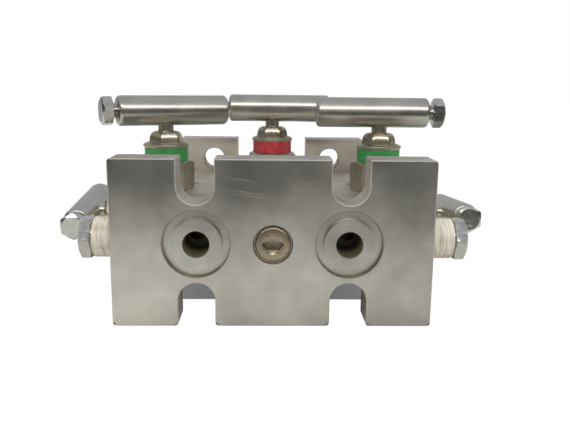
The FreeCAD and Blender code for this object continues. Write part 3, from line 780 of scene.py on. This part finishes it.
# --- block
@dataclass
class Block:
    """The machined body, its centre screw and its rear threads."""

    finish: GroundBlock
    finishes: Finishes
    rim_width: float = 0.8
    rim_share: float = 0.4
    thread_crest: float = 4.8
    thread_root: float = 5.1
    thread_pitch: float = 1.75
    thread_depth: float = 12.0
    thread_ease: float = 0.4
    bolt_spacing: tuple[float, float] = (54.0, 41.3)
    head_radius: float = 6.3
    ledge_radius: float = 7.0
    ledge_depth: float = 1.1
    head_round: float = 0.9
    head_depth: float = 8.0
    shank_radius: float = 4.0
    socket_flats: float = 6.0
    socket_depth: float = 4.0
    socket_bevel: float = 0.75

    def build(self) -> None:
        """Build every piece of the block."""
        self.build_body()
        self.build_threads()
        self.build_screw()

    def build_body(self) -> None:
        """Copy of the block's mesh, joined up, with softened edges."""
        low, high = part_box("valve_block")
        piece = bpy.data.objects.new("machined_block", frame["nodes"]["valve_block"].data.copy())
        bpy.context.scene.collection.objects.link(piece)
        if "custom_normal" in piece.data.attributes:
            piece.data.attributes.remove(piece.data.attributes["custom_normal"])
        work = bmesh.new()
        work.from_mesh(piece.data)
        bmesh.ops.remove_doubles(work, verts=work.verts, dist=1e-6)
        self.narrow_rim(work, low.y)
        work.to_mesh(piece.data)
        work.free()
        piece.data.shade_smooth()
        piece.data.set_sharp_from_angle(angle=math.radians(28))
        flatten = piece.modifiers.new("large_faces_stay_flat", "WEIGHTED_NORMAL")
        flatten.keep_sharp = True
        material = self.finish.build(low.y, (low.z + high.z) / 2)
        finish_piece(piece, material, Slot.BLOCK, ROOT, "valve_block")

    def narrow_rim(self, work: bmesh.types.BMesh, front: float) -> None:
        """Keep only a share of the front bevel, which wear leaves thin.

        Each corner of the flat face moves in its plane towards the nearest
        corner at the bevel's foot, and the foot moves forward as much.

        Args:
            work: the block's mesh, with its doubles merged.
            front: row Y of the front face in metres.
        """
        foot = front + self.rim_width * MM
        feet = {vertex for vertex in work.verts if abs(vertex.co.y - foot) < 1e-5}
        moves = {}
        for vertex in work.verts:
            if abs(vertex.co.y - front) > 1e-5:
                continue
            near = [edge.other_vert(vertex) for edge in vertex.link_edges if edge.other_vert(vertex) in feet]
            if near:
                target = min(near, key=lambda other: (other.co - vertex.co).length)
                moves[vertex] = (target.co - vertex.co) * (1 - self.rim_share)
        for vertex, move in moves.items():
            vertex.co.x += move.x
            vertex.co.z += move.z
        for vertex in feet:
            vertex.co.y = front + self.rim_width * self.rim_share * MM

    def build_threads(self) -> None:
        """Thread liners in the four tapped holes of the rear flange."""
        low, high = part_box("valve_block")
        grids = []
        place = axis_place((0, high.y, (low.z + high.z) / 2), (0, -1, 0), (1, 0, 0))
        for across in (-1, 1):
            for up in (-1, 1):
                grid = self.thread_liner()
                grid[..., 0] += across * self.bolt_spacing[0] / 2
                grid[..., 1] += up * self.bolt_spacing[1] / 2
                grids.append(grid)
        piece = make_surface("rear_bolt_threads", grids, place)
        finish_piece(piece, self.finishes.stem, Slot.BLOCK, ROOT)

    def thread_liner(self) -> Array:
        """Thread crests inside, and the hole's wall outside.

        Returns:
            One closed grid.
        """
        low, high = self.thread_ease, self.thread_depth - self.thread_ease
        inside = thread_grid(low, high, self.thread_crest, self.thread_root - 0.02, self.thread_pitch)
        outside = self.thread_root + 0.05
        wall = lathe(np.array([(high, outside), (low, outside)]), inside.shape[1])
        return np.concatenate((inside, wall, inside[:1]))

    def build_screw(self) -> None:
        """Cap screw: rounded head with a hexagon socket, and its shank."""
        low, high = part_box("centre_screw")
        place = axis_place((0, low.y, (low.z + high.z) / 2), (0, -1, 0), (1, 0, 0))
        columns = 96
        angle = np.arange(columns) * TAU / columns
        socket = hexagon_radius(angle, self.socket_flats)
        mouth = self.socket_flats / 2 + self.socket_bevel
        end, shank, ledge = -(high.y - low.y) / MM, self.shank_radius, -self.ledge_depth
        outer = lathe(rounded([(end, 0, 0), (end, shank, 0.8), (-self.head_depth, shank, 0),
                               (-self.head_depth, self.ledge_radius, 0), (ledge, self.ledge_radius, 0.2),
                               (ledge, self.head_radius, 0), (0, self.head_radius, self.head_round),
                               (0, mouth, 0)]), columns)
        rows = [(-0.02, np.full(columns, mouth)), (-0.45, np.minimum(socket, mouth)),
                (-self.socket_depth, socket), (-self.socket_depth - 0.6, 0 * socket)]
        inner = np.stack([polar(radius, angle, level) for level, radius in rows])
        piece = make_surface("cap_screw", [np.concatenate((outer, inner))], place)
        finish_piece(piece, self.finishes.screw, Slot.SCREW, ROOT, "centre_screw")


# --- plugs
@dataclass
class PlugSet:
    """One side's hex plug and its winding of thread tape."""

    hand: str
    reach: float
    finishes: Finishes
    shank_length: float = 12.0
    shank_radius: float = 6.7
    flats: float = 14.0
    height: float = 4.4
    tape_radius: float = 7.25
    thread_height: float = 0.3
    tape_gap: float = 0.25
    wrap_pitch: float = 2.1
    wrap_step: float = 0.15
    wrap_lean: float = 0.35
    waviness: float = 0.09
    creases: float = 0.03

    def place(self) -> Place:
        """Frame on the block's flank.

        Returns:
            The frame, with +Z out along the plug.
        """
        low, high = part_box(f"{self.hand}_test_plug")
        side = 1 if high.x > 0 else -1
        outer = max(abs(low.x), abs(high.x))
        centre = middle(f"{self.hand}_test_plug")
        flank = side * (outer - (self.reach + self.height) * MM)
        return axis_place((flank, centre[1], centre[2]), (side, 0, 0), (0, 1, 0))

    def build(self) -> None:
        """Build the plug and its tape."""
        place = self.place()
        core = self.shank_radius - self.thread_height
        shank = lathe(rounded([(-self.shank_length, 0, 0), (-self.shank_length, core, 0.8),
                               (self.reach, core, 0), (self.reach, 0, 0)]))
        head = hexagon_head(self.flats, self.reach, self.reach + self.height, 0.0, (0.5, 0.55), (0.1, 0.35))
        piece = make_surface(f"{self.hand}_plug", [shank, head], place)
        finish_piece(piece, self.finishes.plug, Slot.PLUG, ROOT, f"{self.hand}_test_plug")
        tape = make_surface(f"{self.hand}_tape_winding", [self.winding()], place, sharp=60)
        finish_piece(tape, self.finishes.tape, Slot.TAPE, ROOT, f"{self.hand}_plug_tape")

    def winding(self) -> Array:
        """Overlapping turns of tape, each a low step that leans a little.

        The radius is a base plus a sawtooth of the level, which the angle
        shifts as a helix does, plus seeded waves round each turn.

        Returns:
            Closed grid, up the outside and back along the shank.
        """
        columns, rows = 144, 72
        angle = np.arange(columns) * TAU / columns
        low, high = self.tape_gap, self.reach - self.tape_gap
        level = np.linspace(low, high, rows)[:, None]
        lean = self.wrap_lean * np.cos(angle + 0.6) + 0.12 * ripple(angle, 5, (2, 3, 5))
        phase = ((level + lean) / self.wrap_pitch - angle / TAU) % 1
        seed = 11 if self.hand == "left" else 23
        turn = np.floor((level + lean) / self.wrap_pitch - angle / TAU)
        step = self.wrap_step * (1 - phase) ** 0.5
        rough = self.waviness * ripple(angle + 1.7 * turn, seed, (3, 4, 7, 11))
        fine = self.creases * np.sin(TAU * (level * 1.9 + 0.5 * ripple(angle, seed + 1, (2, 5, 9))))
        ends = np.minimum(1, np.minimum(level - low, high - level) / 0.5)
        radius = self.shank_radius + (self.tape_radius - self.shank_radius) * np.sqrt(np.maximum(ends, 0))
        radius = radius + (step + rough + fine) * ends
        skin = polar(radius, angle, level)
        inner = self.shank_radius - self.thread_height
        core = lathe(np.array([(high, inner), (low, inner)]), columns)
        return np.concatenate((skin, core, skin[:1]))


# --- valves
@dataclass
class Valve:
    """One needle valve, from its bonnet to its T-bar.

    Levels run outwards from the bonnet's seat on the block.
    """

    name: str
    finishes: Finishes
    ring: Material
    ring_slot: Slot
    bonnet_turn: float
    bolt_turn: float
    bonnet_flats: float = 19.0
    bonnet_height: float = 11.5
    bonnet_shank: tuple[float, float] = (7.0, 9.0)
    bore: float = 3.1
    chamber: float = 5.5
    packing_span: tuple[float, float] = (2.0, 6.0)
    ring_radius: float = 8.5
    ring_height: float = 5.1
    collar_radius: float = 8.95
    collar_height: float = 1.9
    collar_rim: tuple[float, float] = (0.35, 0.62)
    collar_fall: float = 1.25
    gland_flats: float = 12.0
    gland_height: float = 4.4
    stem_radius: float = 3.0
    stem_thread: float = 3.5
    stem_foot: float = -12.0
    stem_seat: float = 2.8
    thread_top: float = -2.2
    bar_height: float = 30.8
    bar_radius: float = 5.8
    bar_ends: tuple[float, float] = (-25.0, 19.0)
    bar_round: float = 1.6
    hole_end: float = 2.5
    bolt_radius: float = 3.0
    bolt_start: float = 3.2
    thread_length: float = 2.0
    bolt_neck: float = 1.9
    bolt_flats: float = 10.0
    bolt_head: float = 4.2

    @property
    def collar_foot(self) -> float:
        """Level at which the colour ring ends and the collar begins."""
        return self.bonnet_height + self.ring_height

    @property
    def gland_foot(self) -> float:
        """Level at which the collar ends and the gland nut begins."""
        return self.collar_foot + self.collar_height

    def place(self) -> Place:
        """Frame on the bonnet's seat.

        Returns:
            The frame: +Z out along the stem's hinge, +X to the clamp bolt.
        """
        joint = next(j for j in frame["joints"] if j["name"] == f"{self.name}_turn")
        towards = middle(f"{self.name}_handle_bolt") - middle(f"{self.name}_handle_bar")
        return axis_place(joint["pos_m"], joint["axis"], towards)

    def build(self) -> None:
        """Build every visible piece and dress the inner ones."""
        place = self.place()
        turning = f"{self.name}_handle"
        self.add("bonnet", self.bonnet_grids(), place, self.finishes.bonnet, Slot.VALVE, ROOT)
        self.add("colour_ring", self.ring_grids(), place, self.ring, self.ring_slot, ROOT)
        self.add("collar", self.collar_grids(), place, self.finishes.bonnet, Slot.VALVE, ROOT)
        self.add("gland_nut", self.gland_grids(), place, self.finishes.gland, Slot.BRIGHT, ROOT, sharp=75)
        self.add("stem", self.stem_grids(), place, self.finishes.stem, Slot.BRIGHT, turning)
        along = self.bar_place(place)
        self.add("handle_bar", self.bar_grids(), along, self.finishes.bar, Slot.HANDLE, turning)
        self.add("handle_bolt", self.bolt_grids(), along, self.finishes.bolt, Slot.BOLT, turning, sharp=24)
        for part in ("packing", "bonnet_seal", "needle_tip"):
            data = frame["nodes"][f"{self.name}_{part}"].data
            data.materials.clear()
            data.materials.append(self.finishes.seal)

    def add(self, part: str, grids: Sequence[Array], place: Place, material: Material,
            slot: Slot, body: str, sharp: float = 32) -> None:
        """Make one piece from its grids, in the place of its CAD node.

        Args:
            part: name of the node after the valve's name.
            grids: its surfaces.
            place: its frame.
            material: its finish.
            slot: the record's material slot.
            body: the body it moves with.
            sharp: crease angle in degrees past which edges stay sharp.
        """
        piece = make_surface(f"{self.name}_{part}_surface", grids, place, sharp)
        finish_piece(piece, material, slot, body, f"{self.name}_{part}")

    def bar_place(self, place: Place) -> Place:
        """Frame on the T-bar's axis: +Z towards the bolt, +X outwards."""
        origin = place.origin + place.axes[:, 2] * self.bar_height * MM
        return axis_place(origin, place.axes[:, 0], place.axes[:, 2])

    def bonnet_grids(self) -> list[Array]:
        """Hexagon with a turned top, its packing chamber, and its shank.

        Returns:
            One closed grid.
        """
        top = self.bonnet_height
        head = hexagon_head(self.bonnet_flats, 0, top, self.chamber, (0.3, 0.6), (0.1, 0.25))
        radius, depth = self.bonnet_shank
        floor, thread = self.packing_span[0], self.stem_thread + 0.1
        shank = lathe(np.array([(top, self.chamber), (floor, self.chamber), (floor, thread),
                                (-depth, thread), (-depth, radius - 0.05), (0, radius - 0.05)]))
        return [turned(np.concatenate((shank, head[1:])), self.bonnet_turn)]

    def ring_grids(self) -> list[Array]:
        """Marking ring with softened edges and a shallow waist.

        Returns:
            One closed grid.
        """
        low, high = self.bonnet_height, self.collar_foot
        inner, outer, waist = self.chamber, self.ring_radius, self.ring_radius - 0.06
        return [lathe(rounded([(low, inner, 0), (low, outer, 0.25), (low + 0.9, waist, 0),
                               (high - 0.9, waist, 0), (high, outer, 0.25), (high, inner, 0),
                               (low, inner, 0)]))]

    def collar_grids(self) -> list[Array]:
        """Turned collar: a short flare, a rim, and a long fall to the nut.

        Returns:
            One closed grid.
        """
        low, high = self.collar_foot, self.gland_foot
        inner, wide, size = self.chamber, self.collar_radius, high - low
        rim, fall = [low + share * size for share in self.collar_rim]
        profile = rounded([(low, inner, 0), (low, self.ring_radius, 0), (rim, wide, 0.4), (fall, wide, 0.35),
                           (high, wide - self.collar_fall, 0.4), (high, inner, 0), (low, inner, 0)])
        return [lathe(profile)]

    def gland_grids(self) -> list[Array]:
        """Hexagon nut with soft corners under a dome, on its packing shank.

        With u from 0 at the foot to 1 at the bore, the radius falls from the
        hexagon to the bore as cos(u * 90 deg) ** 0.6 and the level rises as
        sin(u * 90 deg) ** 0.9.

        Returns:
            One closed grid.
        """
        low = self.gland_foot
        angle = np.arange(96) * TAU / 96
        rim = soft_hexagon(angle, self.gland_flats)
        bend = np.linspace(0, math.pi / 2, 19)[:, None]
        radius = self.bore + (rim - self.bore) * np.maximum(np.cos(bend), 0) ** 0.6
        skin = polar(radius, angle, low + self.gland_height * np.sin(bend) ** 0.9)
        tight = self.chamber - 0.1
        shank = lathe(np.array([(low + self.gland_height, self.bore), (self.packing_span[1], self.bore),
                                (self.packing_span[1], tight), (low, tight)]))
        return [np.concatenate((shank, skin))]

    def stem_grids(self) -> list[Array]:
        """Stem from its foot in the block to its seat inside the T-bar.

        Returns:
            One closed grid.
        """
        radius, thread = self.stem_radius, self.stem_thread
        foot, top = self.stem_foot, self.bar_height + self.stem_seat
        profile = rounded([(foot, 0, 0), (foot, thread, 0.5), (self.thread_top, thread, 0),
                           (self.thread_top + 0.5, radius, 0), (top, radius, 0.3), (top, 0, 0)])
        return [lathe(profile, 64)]

    def bar_grids(self) -> list[Array]:
        """T-bar with rounded ends and a countersunk hole for its bolt.

        Returns:
            One closed grid.
        """
        low, high = self.bar_ends
        hole = self.bolt_radius + 0.02
        profile = rounded([(low, 0, 0), (low, self.bar_radius, self.bar_round),
                           (high, self.bar_radius, self.bar_round), (high, hole + 0.35, 0),
                           (high - 0.35, hole, 0), (self.hole_end, hole, 0), (self.hole_end, 0, 0)], 10)
        return [lathe(profile, 128)]

    def bolt_grids(self) -> list[Array]:
        """Clamp bolt: threaded neck and a hexagon head.

        Returns:
            A closed grid for the neck and one for the head.
        """
        seat = self.bar_ends[1] + self.bolt_neck
        crest = self.bolt_radius - 0.02
        root = crest - 0.5
        start = self.bar_ends[1] - self.thread_length
        thread = thread_grid(start, seat, crest, root, 1.0)
        shank = lathe(np.array([(self.bolt_start, 0), (self.bolt_start, root), (start, root)]),
                      thread.shape[1])
        cap = lathe(np.array([(seat, 0.0)]), thread.shape[1])
        head = hexagon_head(self.bolt_flats, seat, seat + self.bolt_head, 0.0, (0.4, 0.58), (0.05, 0.7))
        return [np.concatenate((shank, thread, cap)), turned(head, self.bolt_turn + 30)]


# --- studio
@dataclass
class Studio:
    """Pale floor, soft light, and the camera that looks at the front flange."""

    camera_place: tuple[float, float, float] = (-0.00234, -0.27846, 0.08614)
    pitch: float = -11.52
    yaw: float = 1.61
    roll: float = 0.66
    lens: float = 42.53
    floor_tone: str = "d3d2ce"
    floor_lift: float = 0.1
    shade_tone: str = "d8dce0"
    shade_glow: str = "f0f4ff"
    world_tone: str = "e6e9ed"
    world_glow: float = 0.62
    side_card: str = "4c4b48"
    low_card: str = "3a3a38"
    high_card: str = "62625f"
    shade_half: float = 0.056
    shade_span: tuple[float, float] = (-0.019, 0.045)

    def build(self) -> None:
        """Build the floor, the lights, the world and the camera."""
        self.build_camera()
        self.build_floor()
        self.build_world()
        self.build_lights()

    def build_camera(self) -> None:
        """Camera level with the top of the T-bars, looking a little down."""
        data = bpy.data.cameras.new("camera")
        data.lens = self.lens
        data.sensor_width = 36.0
        data.clip_start = 0.01
        camera = bpy.data.objects.new("camera", data)
        camera.location = self.camera_place
        turn = Matrix.Rotation(math.radians(-self.yaw), 4, "Z")
        tilt = Matrix.Rotation(math.radians(90 + self.pitch), 4, "X")
        lean = Matrix.Rotation(math.radians(self.roll), 4, "Z")
        camera.matrix_world = Matrix.Translation(self.camera_place) @ turn @ tilt @ lean
        bpy.context.scene.collection.objects.link(camera)
        bpy.context.scene.camera = camera

    def build_floor(self) -> None:
        """Plain floor that reads white to the camera and keeps its shadow."""
        bpy.ops.mesh.primitive_plane_add(size=6, location=(0, 0, 0))
        floor = bpy.context.object
        floor.name = "floor"
        material, node = new_material("pale_floor")
        path = node("LightPath")
        where = node("TexCoord").outputs["Object"]
        x, y = node("SeparateXYZ", (where,)).outputs[:2]
        aside = node("Math", (x,), operation="ABSOLUTE")
        beside = node("Math", (aside, self.shade_half), operation="GREATER_THAN")
        matt = node("BsdfDiffuse", {"Color": srgb(self.floor_tone)})
        white = node("Emission", {"Color": (1, 1, 1, 1), "Strength": 1.05})
        pale = node("BsdfDiffuse", {"Color": srgb(self.shade_tone)})
        lift = node("Emission", {"Color": srgb(self.shade_glow), "Strength": self.floor_lift})
        shaded = node("AddShader", (pale, lift))
        deep = node("Math", (y, sum(self.shade_span) / 2), operation="SUBTRACT")
        off_middle = node("Math", (deep,), operation="ABSOLUTE")
        reach = (self.shade_span[1] - self.shade_span[0]) / 2
        ahead = node("MapRange", (off_middle, reach - MM, reach))
        open_floor = node("Math", (ahead, beside), operation="MAXIMUM")
        seen = node("MixShader", (open_floor, shaded, white))
        both = node("MixShader", (path.outputs["Is Camera Ray"], matt, seen))
        node("OutputMaterial", {"Surface": both})
        floor.data.materials.append(material)

    def build_world(self) -> None:
        """White backdrop for the camera, soft grey surround for the rest."""
        world = bpy.data.worlds.new("studio")
        world.use_nodes = True
        world.node_tree.nodes.clear()
        node = partial(add_node, world.node_tree)
        path = node("LightPath")
        soft = node("Background", {"Color": srgb(self.world_tone), "Strength": self.world_glow})
        white = node("Background", {"Color": (1, 1, 1, 1), "Strength": 1.0})
        both = node("MixShader", (path.outputs["Is Camera Ray"], soft, white))
        node("OutputWorld", {"Surface": both})
        bpy.context.scene.world = world

    def add_area(self, name: str, place: Sequence[float], target: Sequence[float], size: tuple[float, float],
                 power: float, tone: str) -> bpy.types.Object:
        """A rectangular soft light aimed at a point.

        Args:
            name: name of the light.
            place: its place in metres.
            target: the point that it faces, in metres.
            size: width and height in metres.
            power: watts.
            tone: sRGB colour.

        Returns:
            The light's object.
        """
        data = bpy.data.lights.new(name, "AREA")
        data.shape = "RECTANGLE"
        data.size, data.size_y = size
        data.energy = power
        data.color = srgb(tone)[:3]
        lamp = bpy.data.objects.new(name, data)
        lamp.location = place
        lamp.rotation_euler = (Vector(target) - Vector(place)).to_track_quat("-Z", "Y").to_euler()
        lamp.visible_camera = False
        bpy.context.scene.collection.objects.link(lamp)
        return lamp

    def build_lights(self) -> None:
        """Overhead softbox, a narrow strip in front, and dark cards.

        Steel shows what stands round it: the strip draws the bright line
        along the bars, and the cards keep the front face from reading white.
        """
        centre = (0, 0, 0.04)
        overhead = self.add_area("overhead", (0.0, 0.1, 1.1), centre, (1.4, 1.0), 8.0, "fffdf8")
        overhead.visible_glossy = False
        self.add_area("front_strip", (0.05, -1.1, 0.88), centre, (2.8, 0.08), 11.0, "fffaf0")
        wide, far = 1.2, -1.0
        low = ((-wide, -0.36, 0.002), (0.45, -0.13, 0.002), (wide, -0.13, 0.002),
               (wide, far, 0.002), (-wide, far, 0.002))
        high = ((-wide, far, 0.003), (wide, far, 0.003), (wide, far - 0.05, 0.6), (-wide, far - 0.05, 0.6))
        for name, x in (("left_card", -0.7), ("right_card", 0.7)):
            side = ((x, -0.95, 0.003), (x, 0.6, 0.003), (x, 0.6, 0.35), (x, -0.95, 0.35))
            self.add_card(name, side, self.side_card)
        self.add_card("low_card", low, self.low_card)
        self.add_card("high_card", high, self.high_card)

    def add_card(self, name: str, corners: Sequence[tuple[float, float, float]], tone: str) -> None:
        """A dark sheet in front of the object that only reflections see.

        Args:
            name: name of the card.
            corners: its corners in order, in metres.
            tone: sRGB colour.
        """
        mesh = bpy.data.meshes.new(name)
        mesh.from_pydata(corners, [], [range(len(corners))])
        card = bpy.data.objects.new(name, mesh)
        bpy.context.scene.collection.objects.link(card)
        material, node = new_material(name)
        matt = node("BsdfDiffuse", {"Color": srgb(tone)})
        node("OutputMaterial", {"Surface": matt})
        mesh.materials.append(material)
        card.visible_camera = False
        card.visible_diffuse = False
        card.visible_shadow = False


def main() -> None:
    """Build the whole dressed manifold and its studio."""
    logging.basicConfig(level=logging.INFO, format="%(name)s %(message)s")
    bpy.context.scene.view_settings.view_transform = "Standard"
    finishes = build_finishes()
    Studio().build()
    Block(GroundBlock(), finishes).build()
    for hand, reach in (("left", 8.1), ("right", 9.1)):
        PlugSet(hand, reach, finishes).build()
    for name, turns in HEXAGON_TURNS.items():
        ring, slot = (finishes.red, Slot.RED) if name == "equalise" else (finishes.green, Slot.GREEN)
        Valve(name, finishes, ring, slot, *turns).build()


if __name__ == "__main__":
    main()
